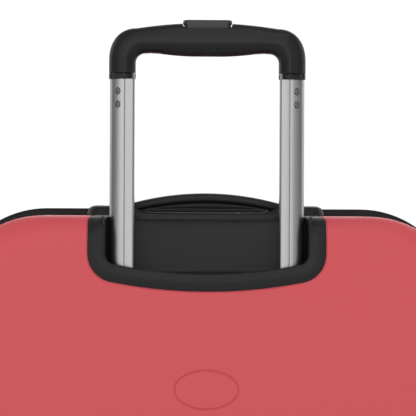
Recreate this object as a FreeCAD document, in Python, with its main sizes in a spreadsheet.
import FreeCAD, Part
import os
import re

import Sketcher
from FreeCAD import Placement, Rotation, Vector

# A medium hard shell suitcase that opens like a clam along a zip and rolls on four
# double casters. Millimetres, +Z up, floor at z = 0. The telescopic handle stands on
# the back, which faces -Y; the zip runs round the case in the plane y = 0.

SIZES = {
    # case
    "half_width": 230,
    "half_depth": 132.5,
    "shell_low": 66,
    "shell_high": 651,
    "corner": 85,
    "edge_round": 22,
    "wall": 2.2,
    "rim": 10,
    # zip line
    "band_proud": 6.5,
    "band_reach": 14,
    "tape_half": 5.5,
    "tape_proud": 3,
    "zip_gap": 0.2,
    "hinge_low": 170,
    "hinge_high": 550,
    "hinge_tape": 1,
    # telescopic handle
    "tube_pitch": 74.7,
    "tube_row": -117,
    "tube_wide": 22,
    "tube_deep": 14,
    "tube_round": 3,
    "tube_wall": 1.2,
    "tube_top": 792,
    "tube_end": 325,
    "sleeve_gap": 0.7,
    "sleeve_low": 92,
    "bracket_step": 45,
    "bracket_row": -110.4,
    "sleeve_wall": 1.3,
    "running_gap": 0.3,
    "stowed_drop": 167,
    "full_lift": 215,
    # grip
    "grip_half": 86.4,
    "grip_inner": 62.8,
    "grip_low": 776,
    "grip_under": 790.7,
    "grip_top": 819.5,
    "grip_deep": 12,
    "grip_corner": 25,
    "collar_high": 5,
    "button_half": 21.5,
    "button_top": 822.3,
    "button_thick": 3,
    "yoke_low": 803,
    "yoke_high": 808,
    "yoke_half": 77,
    "rod_round": 2,
    "rod_end": 327,
    "pin_level": 318,
    "pin_round": 2.5,
    "rivet_out": 78.8,
    "rivet_upper": 760.7,
    "rivet_lower": 749.1,
    "rivet_head": 2.6,
    "rivet_shank": 1.5,
    "rivet_deep": 4,
    # handle cup
    "cup_half": 104.5,
    "cup_low": 585,
    "cup_sag": 433,
    "cup_corner": 25,
    "cup_proud": 1.5,
    "cup_back": -91,
    "cup_lap": 4,
    "basin_half": 90,
    "basin_floor": 600,
    "basin_back": -94,
    "basin_curve": 450,
    "basin_corner": 1.5,
    "lip_wide": 15.5,
    "lip_thick": 5,
    # carry handles
    "carry_row": -70,
    "carry_half": 107,
    "carry_wide": 18,
    "carry_base": 8.5,
    "top_curve": 250,
    "side_curve": 480,
    "top_trough": 40,
    "side_trough": 12,
    "carry_thick": 7.5,
    "carry_gap": 1.6,
    "dip_half": 48,
    "carry_rise": 20.5,
    "side_rise": 14.5,
    "side_base": 6,
    "leg_in": 79,
    "leg_out": 91,
    "leg_deep": 10,
    "leg_wide": 9,
    "side_handle_level": 320,
    # combination lock
    "lock_low": 432,
    "lock_high": 508,
    "lock_near": -18,
    "lock_far": -46,
    "lock_row": -32,
    "lock_proud": 6,
    "lock_deep": 13,
    "dial_round": 6.5,
    "dial_thick": 5,
    "dial_first": 478,
    "dial_pitch": 9,
    "dial_bore": 1.35,
    "dial_shaft": 1.25,
    "press_half": 6,
    "press_level": 462,
    "key_level": 445,
    "key_round": 4.5,
    # zip sliders
    "upper_slider": 520,
    "lower_slider": 410,
    "slider_half": 7,
    "slider_wide": 4.5,
    "slider_thick": 4,
    "pull_long": 27,
    "pull_half": 4,
    "pull_thick": 2.2,
    # casters
    "caster_side": 185,
    "caster_row": 85,
    "caster_trail": 14,
    "wheel_round": 24,
    "wheel_wide": 11,
    "wheel_gap": 4,
    "axle_round": 3,
    "axle_gap": 0.08,
    "web_half": 3.5,
    "fork_top": 56,
    "fork_disc": 22,
    "kingpin_round": 4,
    "kingpin_top": 72,
    "boot_low": 56.5,
    "boot_high": 122,
    "boot_in": 140,
    "boot_out": 229,
    "boot_near": 45,
    "boot_far": 131,
    "boot_corner": 35,
    # feet and inside
    "foot_lower": 190,
    "foot_upper": 520,
    "foot_half": 26,
    "foot_wide": 12,
    "lining_gap": 0.4,
    "lining_thick": 0.9,
    "lining_floor": -104,
    "strap_level": 330,
    "strap_half": 12.5,
}

doc = FreeCAD.newDocument("suitcase")
sheet = doc.addObject("Spreadsheet::Sheet", "dims")
for row, (alias, size) in enumerate(SIZES.items(), 1):
    sheet.set(f"A{row}", alias)
    sheet.set(f"B{row}", str(size))
    sheet.setAlias(f"B{row}", alias)
doc.recompute()

pieces = {}


# ---- small tools ----------------------------------------------------------------
def tied(text):
    """The expression with each size named in full, as setExpression needs it."""
    names = re.sub(r"[a-z]\w*", lambda word: "dims." + word.group(), str(text))
    return names


def value(text):
    return float(sheet.evalExpression(str(text)))


def place(item, base, turn=None):
    if turn:
        item.Placement = Placement(Vector(), turn)
    for axis, text in zip("xyz", base):
        item.setExpression(f".Placement.Base.{axis}", tied(text))
    return item


def box(label, low, high):
    """A plain block between two corners."""
    item = doc.addObject("Part::Box", label)
    for side, first, last in zip(("Length", "Width", "Height"), low, high):
        item.setExpression(side, tied(f"({last}) - ({first})"))
    return place(item, low)


TURNS = {
    "X": Rotation(Vector(0, 1, 0), 90),
    "Y": Rotation(Vector(1, 0, 0), -90),
    "Z": Rotation(),
}


def rod(label, base, axis, radius, length):
    """A cylinder that starts at base and runs along +axis."""
    item = doc.addObject("Part::Cylinder", label)
    item.setExpression("Radius", tied(radius))
    item.setExpression("Height", tied(length))
    return place(item, base, TURNS[axis])


def fused(label, *items):
    item = doc.addObject("Part::MultiFuse", label)
    item.Shapes = list(items)
    item.Refine = True
    return item


def cut(label, base, *tools):
    item = doc.addObject("Part::Cut", label)
    item.Base = base
    item.Tool = tools[0] if len(tools) == 1 else fused(label + "_tools", *tools)
    item.Refine = True
    return item


def common(label, first, second):
    item = doc.addObject("Part::Common", label)
    item.Base = first
    item.Tool = second
    item.Refine = True
    return item


def group(label, *items):
    item = doc.addObject("Part::Compound", label)
    item.Links = list(items)
    return item


def mirrored(label, source, axis):
    item = doc.addObject("Part::Mirroring", label)
    item.Source = source
    item.Base = Vector()
    item.Normal = Vector(*(1.0 if name == axis else 0.0 for name in "XYZ"))
    return item


def edges_where(shape, test):
    return [f"Edge{n}" for n, edge in enumerate(shape.Edges, 1) if test(edge)]


def runs_along(axis):
    """A test for straight edges parallel to an axis."""
    direction = {"X": Vector(1, 0, 0), "Y": Vector(0, 1, 0), "Z": Vector(0, 0, 1)}[axis]

    def test(edge):
        if not isinstance(edge.Curve, Part.Line):
            return False
        return abs(abs(edge.Curve.Direction.dot(direction)) - 1) < 1e-6

    return test


def lies_at(axis, level):
    """A test for edges that lie wholly in the plane axis = level."""
    low, high = {"X": ("XMin", "XMax"), "Y": ("YMin", "YMax"), "Z": ("ZMin", "ZMax")}[axis]

    def test(edge):
        bounds = edge.BoundBox
        return abs(getattr(bounds, low) - level) < 1e-4 and abs(getattr(bounds, high) - level) < 1e-4

    return test


# sketch plane, world axes of the sketch's x and y, world axis of the pad, its sense
PLANES = {
    "X": ("YZ_Plane", 1, 2, 0, 1),
    "Y": ("XZ_Plane", 0, 2, 1, -1),
    "Z": ("XY_Plane", 0, 1, 2, 1),
}


def outline(body, axis, offset, points):
    """A closed sketch of straight lines whose corners follow the sheet."""
    sketch = body.newObject("Sketcher::SketchObject", body.Name + "_sketch")
    plane = next(f for f in body.Origin.OriginFeatures if f.Role == PLANES[axis][0])
    sketch.AttachmentSupport = [(plane, "")]
    sketch.MapMode = "FlatFace"
    sketch.setExpression("AttachmentOffset.Base.z", tied(offset))
    corners = [Vector(value(across), value(up), 0) for across, up in points]
    for start, end in zip(corners, corners[1:] + corners[:1]):
        sketch.addGeometry(Part.LineSegment(start, end))
    for side in range(len(points)):
        following = (side + 1) % len(points)
        sketch.addConstraint(Sketcher.Constraint("Coincident", side, 2, following, 1))
    for side, corner in enumerate(points):
        for way, text in zip(("DistanceX", "DistanceY"), corner):
            place_at = Sketcher.Constraint(way, -1, 1, side, 1, value(text))
            index = sketch.addConstraint(place_at)
            sketch.setExpression(f"Constraints[{index}]", tied(text))
    return sketch


def prism(label, axis, points, first, last):
    """A body padded along an axis from an outline of straight lines."""
    body = doc.addObject("PartDesign::Body", label)
    sense = PLANES[axis][4]
    start = first if sense > 0 else f"-({last})"
    sketch = outline(body, axis, start, points)
    pad = body.newObject("PartDesign::Pad", label + "_pad")
    pad.Profile = sketch
    pad.setExpression("Length", tied(f"({last}) - ({first})"))
    doc.recompute()
    return body


def rounded(body, radius, *tests):
    """Rounds the body's edges that pass every test."""
    fillet = body.newObject("PartDesign::Fillet", body.Name + "_round")
    last = body.Group[-2]
    fillet.Base = (last, edges_where(last.Shape, lambda edge: all(t(edge) for t in tests)))
    fillet.setExpression("Radius", tied(radius))
    doc.recompute()
    return body


def bevelled(body, size, *tests):
    """Chamfers the body's edges that pass every test."""
    chamfer = body.newObject("PartDesign::Chamfer", body.Name + "_bevel")
    last = body.Group[-2]
    chamfer.Base = (last, edges_where(last.Shape, lambda edge: all(t(edge) for t in tests)))
    chamfer.setExpression("Size", tied(size))
    doc.recompute()
    return body


def slab(label, axis, low, high, radius):
    """A block whose four edges along an axis are rounded."""
    across, up, along = PLANES[axis][1:4]
    points = [
        (low[across], low[up]),
        (high[across], low[up]),
        (high[across], high[up]),
        (low[across], high[up]),
    ]
    body = prism(label, axis, points, low[along], high[along])
    return rounded(body, radius, runs_along(axis))


def turned(label, profile, axis_point=("0", "0", "0"), spin=None):
    """A body revolved about its own X axis; the profile gives (along, radius) pairs."""
    body = doc.addObject("PartDesign::Body", label)
    sketch = outline(body, "Z", "0", profile)
    turn = body.newObject("PartDesign::Revolution", label + "_turn")
    turn.Profile = sketch
    turn.ReferenceAxis = (sketch, ["H_Axis"])
    turn.Angle = 360
    doc.recompute()
    return place(body, axis_point, spin)


def keep(label, item):
    """Registers a finished sub-part under its node name."""
    item.Label = label
    pieces[label] = item
    return item


# ---- case shells ----------------------------------------------------------------
def case_block(label, grow, back, front, edge=None):
    """The case outline grown all round by grow, between two depths."""
    low = (f"-half_width - ({grow})", back, f"shell_low - ({grow})")
    high = (f"half_width + ({grow})", front, f"shell_high + ({grow})")
    body = slab(label, "Y", low, high, f"corner + ({grow})")
    if edge:
        rounded(body, f"edge_round + ({grow})", lies_at("Y", value(edge)))
    return body


def ring(label, inner, outer, back, front):
    """A band round the case between two offsets from the shell's surface."""
    around = case_block(label + "_around", outer, back, front)
    within = case_block(label + "_within", inner, f"({back}) - 1", f"({front}) + 1")
    return cut(label, around, within)


def rear_outer(label, grow):
    back = f"-half_depth - ({grow})"
    return case_block(label, grow, back, "-rim", back)


CUP_UNDERSIDE = "cup_low + cup_lap"


def cup_outline(label, inset, back, front):
    """The handle cup's front view drawn in by inset all round, run between two depths."""
    block = box(
        f"{label}_block",
        (f"-cup_half + {inset}", back, "cup_low - 1"),
        (f"cup_half - {inset}", front, "shell_high + 40"),
    )
    disc_start = ("0", "-half_depth - 20", "cup_low + cup_sag")
    disc = rod(f"{label}_disc", disc_start, "Y", f"cup_sag - {inset}", "80")
    face = common(f"{label}_sagged", block, disc)
    doc.recompute()

    def lower_corner(edge):
        return runs_along("Y")(edge) and edge.BoundBox.ZMax < value("cup_low") + 40

    radius = value(f"cup_corner - {inset}")
    cornered = doc.addObject("Part::Fillet", label)
    cornered.Base = face
    cornered.Edges = [(int(name[4:]), radius, radius) for name in edges_where(face.Shape, lower_corner)]
    return cornered


def handle_slots(prefix, inner_end):
    """Cutters for the two ends of a carry handle, in the handle's own frame."""
    clear = "running_gap + 0.2"
    slots = []
    for name, first, last in (
        ("left", "-leg_out", f"-{inner_end}"),
        ("right", inner_end, "leg_out"),
    ):
        low = (f"{first} - {clear}", f"-leg_wide - {clear}", "-30")
        high = (f"{last} + {clear}", f"leg_wide + {clear}", "30")
        slots.append(box(f"{prefix}_{name}_slot", low, high))
    return group(f"{prefix}_slots", *slots)


TOP_SEAT = (("0", "carry_row", "shell_high"), None)
SIDE_SEAT = (("half_width", "carry_row", "side_handle_level"), TURNS["X"])


def lock_hole(label, gap):
    low = ("half_width - lock_deep", f"lock_far + 3 - ({gap})", f"lock_low + 3 - ({gap})")
    high = ("half_width + 5", f"lock_near - 3 + ({gap})", f"lock_high - 3 + ({gap})")
    return box(label, low, high)


def rear_shell():
    hollow = case_block("rear_hollow", "-wall", "wall - half_depth", "0", "wall - half_depth")
    notch = cup_outline("cup_notch", "cup_lap", "-half_depth - 5", "cup_back")
    top_slots = place(handle_slots("shell_top", "leg_in"), *TOP_SEAT)
    side_slots = place(handle_slots("shell_side", "leg_in"), *SIDE_SEAT)
    tools = (hollow, notch, top_slots, side_slots, lock_hole("shell_lock_hole", "0"))
    shell = cut("rear_shell_wall", rear_outer("rear_outer", "0"), *tools, *bracket_holes("shell"))
    keep("rear_shell", shell)


def front_shell():
    outer = case_block("front_outer", "0", "rim", "half_depth", "half_depth")
    inner = case_block("front_hollow", "-wall", "0", "half_depth - wall", "half_depth - wall")
    keep("front_shell", cut("front_shell_wall", outer, inner))


def zip_line():
    for side, sign in (("rear", -1), ("front", 1)):
        inner_ends = sorted((f"{sign} * tape_half", f"{sign} * rim"), key=value)
        outer_ends = sorted((f"{sign} * rim", f"{sign} * band_reach"), key=value)
        tape_ends = sorted((f"{sign} * zip_gap", f"{sign} * tape_half"), key=value)
        cap = ring(f"{side}_band_cap", "-wall", "band_proud", *inner_ends)
        cover = ring(f"{side}_band_cover", "0", "band_proud", *outer_ends)
        keep(f"{side}_edge_band", fused(f"{side}_band", cap, cover))
        keep(f"{side}_zip_tape", ring(f"{side}_tape", "-0.5", "tape_proud", *tape_ends))
    tape = box(
        "hinge_strip",
        ("-half_width - band_proud - hinge_tape", "1 - band_reach", "hinge_low"),
        ("-half_width - band_proud", "-running_gap", "hinge_high"),
    )
    keep("hinge_tape", tape)


# ---- telescopic handle ----------------------------------------------------------
def tube_column(label, sign, grow, low, high):
    """A rounded bar on one tube's line, grown all round by grow."""
    centre = f"{sign} * tube_pitch"
    corner_low = (f"{centre} - tube_wide / 2 - ({grow})", f"tube_row - tube_deep / 2 - ({grow})", low)
    corner_high = (f"{centre} + tube_wide / 2 + ({grow})", f"tube_row + tube_deep / 2 + ({grow})", high)
    return slab(label, "Z", corner_low, corner_high, f"tube_round + ({grow})")


def tube(label, sign, outside, inside, low, high):
    around = tube_column(label + "_around", sign, outside, low, high)
    within = tube_column(label + "_within", sign, inside, f"{low} - 1", f"{high} + 1")
    return cut(label, around, within)


SIDES = (("left", -1), ("right", 1))


def rivet_rods(prefix, sign, radius, length):
    """One side's two rivet cylinders, flush with the back of the tube."""
    rods = []
    for name in ("upper", "lower"):
        base = (f"{sign} * rivet_out", "tube_row - tube_deep / 2", f"rivet_{name}")
        rods.append(rod(f"{prefix}_{name}", base, "Y", radius, length))
    return rods


def inner_tubes():
    tubes = []
    for side, sign in SIDES:
        wall = tube(f"{side}_tube_wall", sign, "0", "-tube_wall", "tube_end", "tube_top")
        holes = rivet_rods(f"{side}_rivet_hole", sign, "rivet_head", "tube_wall + 0.1")
        tubes.append(cut(f"{side}_inner_tube", wall, *holes))
    keep("inner_tubes", group("tube_pair", *tubes))


def tube_rivets():
    rivets = []
    for side, sign in SIDES:
        heads = rivet_rods(f"{side}_rivet_head", sign, "rivet_head", "tube_wall")
        shanks = rivet_rods(f"{side}_rivet_shank", sign, "rivet_shank", "rivet_deep")
        for name, head, shank in zip(("upper", "lower"), heads, shanks):
            rivets.append(fused(f"{side}_{name}_rivet", head, shank))
    keep("tube_rivets", group("rivet_set", *rivets))


def outer_tubes():
    sleeves = []
    for side, sign in SIDES:
        outside = "sleeve_gap + sleeve_wall"
        sleeve = tube(f"{side}_sleeve", sign, outside, "sleeve_gap", "sleeve_low", CUP_UNDERSIDE)
        out = f"tube_wide / 2 + {outside} + 1"
        start = f"{sign} * tube_pitch" if sign > 0 else f"-tube_pitch - ({out})"
        stops = []
        for name, level in (
            ("stowed", "pin_level - stowed_drop"),
            ("middle", "pin_level"),
            ("full", "pin_level + full_lift"),
        ):
            base = (start, "tube_row", level)
            stops.append(rod(f"{side}_{name}_stop", base, "X", "pin_round + 0.5", out))
        sleeves.append(cut(f"{side}_outer_tube", sleeve, *stops))
    keep("outer_tubes", group("sleeve_pair", *sleeves))


def tube_bushes():
    bushes = []
    for side, sign in SIDES:
        collar = tube_column(f"{side}_bush_collar", sign, "2.6", "basin_floor", "basin_floor + 1.5")
        barrel = tube_column(f"{side}_bush_barrel", sign, "2", CUP_UNDERSIDE, "basin_floor")
        bore_low = f"{CUP_UNDERSIDE} - 1"
        bore = tube_column(f"{side}_bush_bore", sign, "running_gap", bore_low, "basin_floor + 3")
        body = fused(f"{side}_bush_body", collar, barrel)
        bushes.append(cut(f"{side}_bush", body, bore))
    keep("tube_bushes", group("bush_pair", *bushes))


def tube_end_blocks():
    blocks = []
    for side, sign in SIDES:
        guide = tube_column(f"{side}_guide", sign, "sleeve_gap - running_gap", "tube_end - 13", "tube_end")
        plug = tube_column(f"{side}_plug", sign, "-tube_wall", "tube_end", "tube_end + 20")
        centre = (f"{sign} * tube_pitch", "tube_row", "rod_end - 6")
        rod_bore = rod(f"{side}_rod_bore", centre, "Z", "rod_round + running_gap", "40")
        start = "tube_pitch - 2" if sign > 0 else "-tube_pitch - 18"
        pin_bore = rod(
            f"{side}_pin_bore", (start, "tube_row", "pin_level"), "X", "pin_round + running_gap", "20"
        )
        body = fused(f"{side}_block_body", guide, plug)
        blocks.append(cut(f"{side}_end_block", body, rod_bore, pin_bore))
    keep("tube_end_blocks", group("end_block_pair", *blocks))


def lock_pins():
    for side, sign in SIDES:
        start = "tube_pitch + 2.2" if sign > 0 else "-tube_pitch - 11"
        base = (start, "tube_row", "pin_level")
        pin = rod(f"{side}_pin", base, "X", "pin_round", "8.8")
        keep(f"{side}_lock_pin", pin)


def grip_space(label, half, back, front, low, high):
    """A block centred on x = 0 at depths measured from the tubes' row."""
    low_corner = (f"-({half})", f"tube_row - ({back})", low)
    return box(label, low_corner, (half, f"tube_row + ({front})", high))


def grip_body():
    low = ("-grip_half", "tube_row - grip_deep", "grip_low")
    high = ("grip_half", "tube_row + grip_deep", "grip_top")
    body = prism(
        "grip_block",
        "Y",
        [(low[0], low[2]), (high[0], low[2]), (high[0], high[2]), (low[0], high[2])],
        low[1],
        high[1],
    )
    top = value("grip_top")
    rounded(body, "grip_corner", runs_along("Y"), lies_at("Z", top))
    rounded(body, "5", lambda edge: edge.BoundBox.ZMax > value("grip_low") + 1)
    opening = slab(
        "finger_gap",
        "Y",
        ("-grip_inner", "tube_row - grip_deep - 5", "grip_low - 12"),
        ("grip_inner", "tube_row + grip_deep + 5", "grip_under"),
        "7",
    )
    cavity = grip_space("yoke_space", "yoke_half + 2", 7, 7, "grip_under + 2.3", "yoke_high + 4")
    dip = grip_space("button_dip", "button_half + 2.5", 20, 20, "grip_top - 4.5", "grip_top + 5")
    slot = grip_space("button_slot", "16.6", 6.6, 6.6, "yoke_high", "grip_top")
    sockets = [
        tube_column(f"{side}_socket", sign, "0", "grip_low - 1", "tube_top") for side, sign in SIDES
    ]
    shafts = [
        rod(f"{side}_shaft", (f"{sign} * tube_pitch", "tube_row", "tube_top - 1"), "Z", "4", "5")
        for side, sign in SIDES
    ]
    keep("grip_body", cut("grip_moulding", body, opening, cavity, dip, slot, *sockets, *shafts))


def grip_collars():
    collars = []
    for side, sign in SIDES:
        around = tube_column(
            f"{side}_collar_around", sign, "1", "grip_low - collar_high", "grip_low"
        )
        within = tube_column(f"{side}_collar_within", sign, "0", "grip_low - 10", "grip_low + 1")
        collars.append(cut(f"{side}_collar", around, within))
    keep("grip_collars", group("collar_pair", *collars))


def grip_pad():
    low = ("-42", "tube_row - 8", "grip_under - 2.2")
    body = slab("finger_pad", "Z", low, ("42", "tube_row + 8", "grip_under"), "7.5")
    bevelled(body, "1.5", lies_at("Z", value("grip_under - 2.2")))
    keep("grip_pad", body)


def grip_button():
    cap_low = ("-button_half", "tube_row - 9", "button_top - button_thick")
    cap = slab("button_cap", "Z", cap_low, ("button_half", "tube_row + 9", "button_top"), "6")
    rounded(cap, "1.4", lies_at("Z", value("button_top")))
    stem = grip_space("button_stem", 16, 6, 6, "yoke_high", "button_top - button_thick")
    keep("grip_button", fused("button_moulding", cap, stem))
    keep("push_yoke", grip_space("yoke_bar", "yoke_half", 5, 5, "yoke_low", "yoke_high"))
    rods = [
        rod(f"{side}_rod", (f"{sign} * tube_pitch", "tube_row", "rod_end"), "Z", "rod_round",
            "yoke_low - rod_end")
        for side, sign in SIDES
    ]
    keep("push_rods", group("rod_pair", *rods))
    base = ("0", "tube_row", "grip_under + 2.3")
    length = "yoke_low - grip_under - 2.3"
    coil = rod("button_coil", base, "Z", "4.5", length)
    core = rod("button_coil_core", base, "Z", "3.5", length)
    keep("button_spring", cut("button_coil_tube", coil, core))


def handle_cup():
    outer = cup_outline("cup_face", "0", "-half_depth - cup_proud", "cup_back")
    skin = common("cup_skin", outer, rear_outer("cup_skin_block", "cup_proud"))
    flange = cut("cup_flange", skin, rear_outer("cup_seat", "0"))
    plug = cup_outline("cup_plug", "cup_lap", "-half_depth - 5", "cup_back")
    body = fused("cup_solid", flange, common("cup_core", plug, rear_outer("cup_plug_limit", "0")))
    basin = slab(
        "basin_block",
        "Y",
        ("-basin_half", "-half_depth + lip_thick - cup_proud", "basin_floor"),
        ("basin_half", "basin_back + 10", "shell_high + 40"),
        "basin_corner",
    )
    curve = rod("basin_curve", ("0", "basin_back - basin_curve", "basin_floor - 5"), "Z",
                "basin_curve", "120")
    mouth = cup_outline("basin_mouth", "lip_wide", "-half_depth - 10", "-half_depth + lip_thick")
    holes = [
        tube_column(f"{side}_cup_hole", sign, "2", f"{CUP_UNDERSIDE} - 1", "basin_floor + 1")
        for side, sign in SIDES
    ]
    keep("handle_cup", cut("cup_moulding", body, common("basin", basin, curve), mouth, *holes))


def bracket_holes(prefix):
    return [
        rod(f"{prefix}_{side}_bracket_hole", (f"{sign} * bracket_step", "bracket_row", "shell_low - 1"),
            "Z", "2", "12")
        for side, sign in SIDES
    ]


def tube_foot_bracket():
    low = ("-95", "tube_row - 13", "shell_low")
    block = box("bracket_block", low, ("95", "tube_row + 12", "sleeve_low"))
    inside_case = case_block("bracket_limit", "-wall", "wall - half_depth", "0", "wall - half_depth")
    plate = common("bracket_plate", block, inside_case)
    plugs = [
        tube_column(f"{side}_bracket_plug", sign, "sleeve_gap", "sleeve_low", "sleeve_low + 20")
        for side, sign in SIDES
    ]
    body = fused("bracket_body", plate, *plugs)
    keep("tube_foot_bracket", cut("bracket", body, *bracket_holes("foot")))


# ---- carry handles --------------------------------------------------------------
def carry_base(label, seat, height, trough):
    low = ("-carry_half", "-carry_wide", "0")
    body = slab(label + "_plate", "Z", low, ("carry_half", "carry_wide", height), "15")
    bevelled(body, "5", lies_at("Z", value(height)))
    dip = box(
        label + "_dip",
        ("-dip_half", "-carry_wide - 1", f"{height} / 2"),
        ("dip_half", "carry_wide + 1", f"{height} + 1"),
    )
    keep(label, place(cut(label + "_moulding", body, dip, handle_slots(label, trough)), *seat))


def carry_grip(label, seat, height, rise, curve):
    """An arched grip, flat underneath, whose two legs slide in the base's slots."""
    centre = f"{rise} - {curve}"
    outer = rod(label + "_outer", ("0", "-leg_wide - 2", centre), "Y", curve, "2 * leg_wide + 4")
    inner = rod(label + "_inner", ("0", "-leg_wide - 5", centre), "Y", f"{curve} - carry_thick",
                "2 * leg_wide + 10")
    below = box(
        label + "_below",
        ("-leg_out", "-leg_wide - 5", "-5"),
        ("leg_out", "leg_wide + 5", f"{height} / 2 + carry_gap"),
    )
    hollow = common(label + "_hollow", inner, below)
    span = box(label + "_span", ("-leg_out", "-leg_wide", "0"), ("leg_out", "leg_wide", "40"))
    arch = common(label + "_arch", cut(label + "_bow", outer, hollow), span)
    legs = [
        box(f"{label}_{name}_leg", (first, "-leg_wide", "-leg_deep"), (last, "leg_wide", "4"))
        for name, first, last in (("left", "-leg_out", "-leg_in"), ("right", "leg_in", "leg_out"))
    ]
    keep(label, place(fused(label + "_moulding", arch, *legs), *seat))


def carry_handles():
    carry_base("top_handle_base", TOP_SEAT, "carry_base", "top_trough")
    carry_base("side_handle_base", SIDE_SEAT, "side_base", "side_trough")
    carry_grip("top_handle_grip", TOP_SEAT, "carry_base", "carry_rise", "top_curve")
    carry_grip("side_handle_grip", SIDE_SEAT, "side_base", "side_rise", "side_curve")


# ---- lock -----------------------------------------------------------------------
def lock_body():
    plate = slab(
        "lock_plate",
        "X",
        ("half_width", "lock_far", "lock_low"),
        ("half_width + lock_proud", "lock_near", "lock_high"),
        "8",
    )
    rounded(plate, "2", lies_at("X", value("half_width + lock_proud")))
    case = fused("lock_case", plate, lock_hole("lock_inner", "0"))
    hollows = []
    for number in range(3):
        level = f"dial_first + {number} * dial_pitch"
        low = ("half_width - dial_round - 1.5", "lock_row - dial_round - 1", f"{level} - dial_thick / 2 - 0.4")
        high = ("half_width + 10", "lock_row + dial_round + 1", f"{level} + dial_thick / 2 + 0.4")
        hollows.append(box(f"dial_pocket_{number + 1}", low, high))
    press = box(
        "press_pocket",
        ("half_width - 8", "lock_row - press_half - 0.4", "press_level - press_half - 0.4"),
        ("half_width + 10", "lock_row + press_half + 0.4", "press_level + press_half + 0.4"),
    )
    key = rod("key_pocket", ("half_width - 8", "lock_row", "key_level"), "X", "key_round", "20")
    shaft = rod("dial_shaft_bar", ("half_width", "lock_row", "dial_first - 6"), "Z", "dial_shaft", "30")
    keep("lock_body", fused("lock_assembly", cut("lock_moulding", case, *hollows, press, key), shaft))


def lock_dials():
    for number in range(3):
        dial = doc.addObject("PartDesign::Body", f"dial_{number + 1}_body")
        rim = dial.newObject("Sketcher::SketchObject", f"dial_{number + 1}_rim")
        plane = next(f for f in dial.Origin.OriginFeatures if f.Role == "XY_Plane")
        rim.AttachmentSupport = [(plane, "")]
        rim.MapMode = "FlatFace"
        for size in ("dial_round", "dial_bore"):
            edge = rim.addGeometry(Part.Circle(Vector(), Vector(0, 0, 1), value(size)))
            rim.addConstraint(Sketcher.Constraint("Coincident", edge, 3, -1, 1))
            index = rim.addConstraint(Sketcher.Constraint("Radius", edge, value(size)))
            rim.setExpression(f"Constraints[{index}]", tied(size))
        pad = dial.newObject("PartDesign::Pad", f"dial_{number + 1}_pad")
        pad.Profile = rim
        pad.setExpression("Length", tied("dial_thick"))
        reach = "dial_round - 0.5"
        notch = outline(
            dial,
            "Z",
            "-1",
            [(reach, "-0.4"), ("dial_round + 1", "-0.9"), ("dial_round + 1", "0.9"), (reach, "0.4")],
        )
        groove = dial.newObject("PartDesign::Pocket", f"dial_{number + 1}_groove")
        groove.Profile = notch
        groove.Reversed = True
        groove.setExpression("Length", tied("dial_thick + 2"))
        doc.recompute()
        knurl = dial.newObject("PartDesign::PolarPattern", f"dial_{number + 1}_knurl")
        knurl.Originals = [groove]
        knurl.Axis = (rim, ["N_Axis"])
        knurl.Angle = 360
        knurl.Occurrences = 10
        dial.Tip = knurl
        base = ("half_width", "lock_row", f"dial_first + {number} * dial_pitch - dial_thick / 2")
        keep(f"lock_dial_{number + 1}", place(dial, base))


def lock_controls():
    press = slab(
        "press_block",
        "X",
        ("half_width - 4", "lock_row - press_half", "press_level - press_half"),
        ("half_width + lock_proud + 1.5", "lock_row + press_half", "press_level + press_half"),
        "3",
    )
    keep("lock_button", press)
    barrel = rod("key_barrel", ("half_width - 8", "lock_row", "key_level"), "X", "key_round",
                 "8 + lock_proud + 0.4")
    keyway = box(
        "keyway",
        ("half_width + 2", "lock_row - 0.6", "key_level - 2.8"),
        ("half_width + 20", "lock_row + 0.6", "key_level + 2.8"),
    )
    keep("key_cylinder", cut("key_plug", barrel, keyway))


# ---- zip sliders ----------------------------------------------------------------
def zip_slider(name):
    level = f"{name}_slider"
    seat = "half_width + tape_proud + running_gap"
    body = slab(
        f"{name}_slider_plate",
        "X",
        (seat, "-slider_wide", f"{level} - slider_half"),
        (f"{seat} + slider_thick", "slider_wide", f"{level} + slider_half"),
        "2.5",
    )
    eye = f"{seat} + slider_thick + 1.8"
    lugs = []
    for place_name, first, last in (("near", "-3.6", "-2.2"), ("far", "2.2", "3.6")):
        low = (f"{seat} + slider_thick - 0.5", first, f"{level} - 2")
        lugs.append(box(f"{name}_{place_name}_lug", low, (f"{eye} + 1.3", last, f"{level} + 2")))
    hinge = rod(f"{name}_slider_pin", (eye, "-2.5", level), "Y", "0.7", "5")
    keep(f"{name}_zip_slider", fused(f"{name}_slider_casting", body, *lugs, hinge))

    tab = prism(
        f"{name}_pull_plate",
        "X",
        [
            ("-1.9", f"{level} + 1.3"),
            ("-1.9", f"{level} - 5"),
            ("-pull_half", f"{level} - 10"),
            ("-pull_half", f"{level} - pull_long"),
            ("pull_half", f"{level} - pull_long"),
            ("pull_half", f"{level} - 10"),
            ("1.9", f"{level} - 5"),
            ("1.9", f"{level} + 1.3"),
        ],
        f"{eye} - pull_thick / 2",
        f"{eye} + pull_thick / 2",
    )
    bore = rod(f"{name}_pull_bore", (eye, "-5", level), "Y", "0.78", "10")
    keep(f"{name}_zip_pull", cut(f"{name}_pull", tab, bore))


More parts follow.
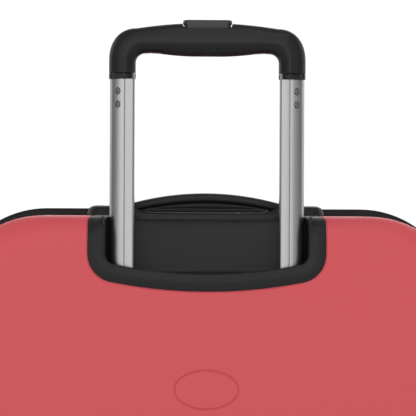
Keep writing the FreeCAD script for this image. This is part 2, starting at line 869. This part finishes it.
# ---- casters --------------------------------------------------------------------
def wheel_boots(side, sign):
    """The corner mouldings that carry one half's two casters."""
    near, far = sorted((f"{sign} * boot_near", f"{sign} * boot_far"), key=value)
    corner = slab(
        f"{side}_boot_block",
        "Y",
        ("boot_in", near, "boot_low"),
        ("boot_out", far, "boot_high"),
        "10",
    )
    outline_limit = slab(
        f"{side}_boot_limit",
        "Y",
        ("-boot_out", near, "boot_low"),
        ("boot_out", far, "shell_high"),
        "boot_corner",
    )
    footprint = slab(
        f"{side}_boot_foot",
        "Z",
        ("boot_in - 0.5", f"{near} - 0.5" if sign < 0 else near, "boot_low - 1"),
        ("boot_out", far if sign < 0 else f"{far} + 0.5", "boot_high + 1"),
        "18",
    )
    if sign < 0:
        seat = rear_outer(f"{side}_boot_seat", "0")
    else:
        seat = case_block(f"{side}_boot_seat", "0", "rim", "half_depth", "half_depth")
    block = common(f"{side}_boot_round", common(f"{side}_boot_cut", corner, outline_limit), footprint)
    bore = rod(
        f"{side}_kingpin_bore",
        ("caster_side", f"{sign} * caster_row", "boot_low - 1"),
        "Z",
        "kingpin_round + axle_gap",
        "kingpin_top + 2 - boot_low",
    )
    screws = screw_set(f"{side}_boot_screw_hole", sign, "0")
    boot = cut(f"{side}_right_boot", block, seat, bore, *screws)
    pair = group(f"{side}_boot_pair", boot, mirrored(f"{side}_left_boot", boot, "X"))
    keep(f"{side}_wheel_housings", pair)


def screw_set(prefix, sign, grow):
    """Four countersunk screws round the kingpin of the right-hand caster."""
    screws = []
    for number, (step_x, step_y) in enumerate(((-22, -22), (22, -22), (22, 22), (-22, 22)), 1):
        base = (f"caster_side + {step_x}", f"{sign} * caster_row + {step_y}", "boot_low")
        head = rod(f"{prefix}_head_{number}", base, "Z", f"3.5 + {grow}", "2")
        shank = rod(f"{prefix}_shank_{number}", base, "Z", f"1.6 + {grow}", "7.5")
        screws.append(fused(f"{prefix}_{number}", head, shank))
    return screws


def case_screws(side, sign):
    right = group(f"{side}_right_screws", *screw_set(f"{side}_screw", sign, "0"))
    screws = [right, mirrored(f"{side}_left_screws", right, "X")]
    if side == "rear":
        for name, way in SIDES:
            base = (f"{way} * bracket_step", "bracket_row", "shell_low - 2")
            shank = rod(f"{name}_bracket_screw", base, "Z", "2", "12")
            head = rod(f"{name}_bracket_head", base, "Z", "4", "2")
            screws.append(fused(f"{name}_bracket_bolt", shank, head))
    keep(f"{side}_case_screws", group(f"{side}_screw_group", *screws))


def caster(name, side_sign, depth_sign):
    """One swivelling fork with its axle, and the wheel on each side of it."""
    x = f"{side_sign} * caster_side"
    y = f"{depth_sign} * caster_row"
    axle_y = f"{y} + caster_trail"
    disc = rod(f"{name}_disc", (x, y, "fork_top - 5"), "Z", "fork_disc", "5")
    kingpin = rod(f"{name}_kingpin", (x, y, "fork_top - 1"), "Z", "kingpin_round",
                  "kingpin_top + 1 - fork_top")
    web = prism(
        f"{name}_web",
        "X",
        [
            (f"{y} - 15", "fork_top - 1"),
            (f"{axle_y} - 9", "wheel_round - 6"),
            (f"{axle_y} + 6", "wheel_round - 6"),
            (f"{y} + fork_disc - 3", "fork_top - 1"),
        ],
        f"{x} - web_half",
        f"{x} + web_half",
    )
    reach = "(wheel_gap + wheel_wide + 1.2)"
    axle = rod(f"{name}_axle", (f"{x} - {reach}", axle_y, "wheel_round"), "X", "axle_round",
               f"2 * {reach}")
    keep(f"{name}_caster_fork", fused(f"{name}_fork", disc, kingpin, web, axle))
    bore = "axle_round + axle_gap"
    profile = [
        ("0", bore),
        ("wheel_wide", bore),
        ("wheel_wide", "7"),
        ("wheel_wide - 2", "8"),
        ("wheel_wide - 2", "wheel_round - 7"),
        ("wheel_wide", "wheel_round - 6"),
        ("wheel_wide", "wheel_round - 1.5"),
        ("wheel_wide - 1.5", "wheel_round"),
        ("1.5", "wheel_round"),
        ("0", "wheel_round - 1.5"),
    ]
    for wheel, way in (("outer", side_sign), ("inner", -side_sign)):
        centre = (f"{x} + {way} * wheel_gap", axle_y, "wheel_round")
        spin = Rotation(Vector(0, 0, 1), 180) if way < 0 else None
        keep(f"{name}_{wheel}_wheel", turned(f"{name}_{wheel}_rim", profile, centre, spin))


# ---- feet and inside ------------------------------------------------------------
def side_feet(side, sign):
    near, far = sorted((f"{sign} * 70 - foot_wide", f"{sign} * 70 + foot_wide"), key=value)
    feet = []
    for name in ("lower", "upper"):
        foot = slab(
            f"{side}_{name}_stud",
            "X",
            ("-half_width - band_proud", near, f"foot_{name} - foot_half"),
            ("-half_width", far, f"foot_{name} + foot_half"),
            "8",
        )
        feet.append(rounded(foot, "2.5", lies_at("X", value("-half_width - band_proud"))))
    keep(f"{side}_side_feet", group(f"{side}_foot_pair", *feet))


def lining(side, sign, floor, bumps):
    """A thin tray inside one half, raised over what stands behind it."""
    inset = "-wall - lining_gap"
    inner = "-wall - lining_gap - lining_thick"
    if sign < 0:
        tray = case_block(f"{side}_tray", inset, floor, "-rim")
        room = case_block(f"{side}_room", inner, f"{floor} + lining_thick", "0")
    else:
        tray = case_block(f"{side}_tray", inset, "rim", floor, floor)
        room = case_block(f"{side}_room", inner, "0", f"{floor} - lining_thick", f"{floor} - lining_thick")
    if not bumps:
        keep(f"{side}_lining", cut(f"{side}_cloth", tray, room))
        return
    skins = [box(f"{side}_bump_{n}", low, high) for n, (low, high) in enumerate(bumps, 1)]
    cores = []
    for number, (low, high) in enumerate(bumps, 1):
        core_low = [f"{text} + lining_thick" for text in low]
        core_high = [f"{text} - lining_thick" for text in high]
        cores.append(box(f"{side}_bump_core_{number}", core_low, core_high))
    cloth = cut(f"{side}_cloth_folds", tray, cut(f"{side}_bumped_room", room, *skins))
    keep(f"{side}_lining", cut(f"{side}_cloth", cloth, *cores))


def inside():
    grow = "(lining_thick + 1)"
    cup_bump = (
        (f"-cup_half + cup_lap - {grow} - 1", "lining_floor - 3", f"{CUP_UNDERSIDE} - {grow}"),
        (f"cup_half - cup_lap + {grow} + 1", f"cup_back + {grow}", "shell_high"),
    )
    top_bump = (
        ("-leg_out - 5", "carry_row - leg_wide - 5", "shell_high - leg_deep - 5"),
        ("leg_out + 5", "carry_row + leg_wide + 5", "shell_high + 3"),
    )
    side_bump = (
        ("half_width - leg_deep - 5", "carry_row - leg_wide - 5", "side_handle_level - leg_out - 5"),
        ("half_width + 3", "carry_row + leg_wide + 5", "side_handle_level + leg_out + 5"),
    )
    lock_bump = (
        ("half_width - lock_deep - 3", "lock_far", "lock_low"),
        ("half_width + 3", "lock_near + 3", "lock_high"),
    )
    lining("rear", -1, "lining_floor", [cup_bump, top_bump, side_bump, lock_bump])
    lining("front", 1, "half_depth - wall - lining_gap", [])
    straps = []
    for side, sign in SIDES:
        first, last = sorted((f"{sign} * 20", f"{sign} * 212"), key=value)
        low = (first, "lining_floor + lining_thick + 0.4", "strap_level - strap_half")
        high = (last, "lining_floor + lining_thick + 1.8", "strap_level + strap_half")
        straps.append(box(f"{side}_strap", low, high))
    keep("packing_straps", group("strap_pair", *straps))
    buckle = slab(
        "buckle_block",
        "Y",
        ("-26", "lining_floor + lining_thick + 1.8", "strap_level - strap_half - 4"),
        ("26", "lining_floor + lining_thick + 8", "strap_level + strap_half + 4"),
        "6",
    )
    keep("strap_buckle", buckle)
    pocket = slab(
        "pocket_sheet",
        "Y",
        ("-190", "half_depth - 14", "shell_low + 40"),
        ("190", "half_depth - 12.8", "shell_low + 330"),
        "30",
    )
    keep("mesh_pocket", pocket)


def check_and_export():
    doc.recompute()
    for item in doc.Objects:
        bad = [state for state in item.State if state in ("Invalid", "Error")]
        if bad:
            raise RuntimeError(f"{item.Name} failed: {item.State}")
    os.makedirs("parts", exist_ok=True)
    for label, item in pieces.items():
        shape = item.Shape
        if shape.isNull() or not shape.isValid() or not shape.Solids:
            raise RuntimeError(f"{label} has no valid solid")
        shape.exportStep(f"parts/{label}.step")


rear_shell()
front_shell()
zip_line()
inner_tubes()
tube_rivets()
outer_tubes()
tube_bushes()
tube_end_blocks()
lock_pins()
grip_body()
grip_collars()
grip_pad()
grip_button()
handle_cup()
tube_foot_bracket()
carry_handles()
lock_body()
lock_dials()
lock_controls()
zip_slider("upper")
zip_slider("lower")
for half, depth in (("rear", -1), ("front", 1)):
    wheel_boots(half, depth)
    case_screws(half, depth)
    side_feet(half, depth)
    caster(f"{half}_left", -1, depth)
    caster(f"{half}_right", 1, depth)
inside()
check_and_export()
for label, item in pieces.items():
    shape = item.Shape
    print(label, len(shape.Solids), round(shape.Volume, 1))
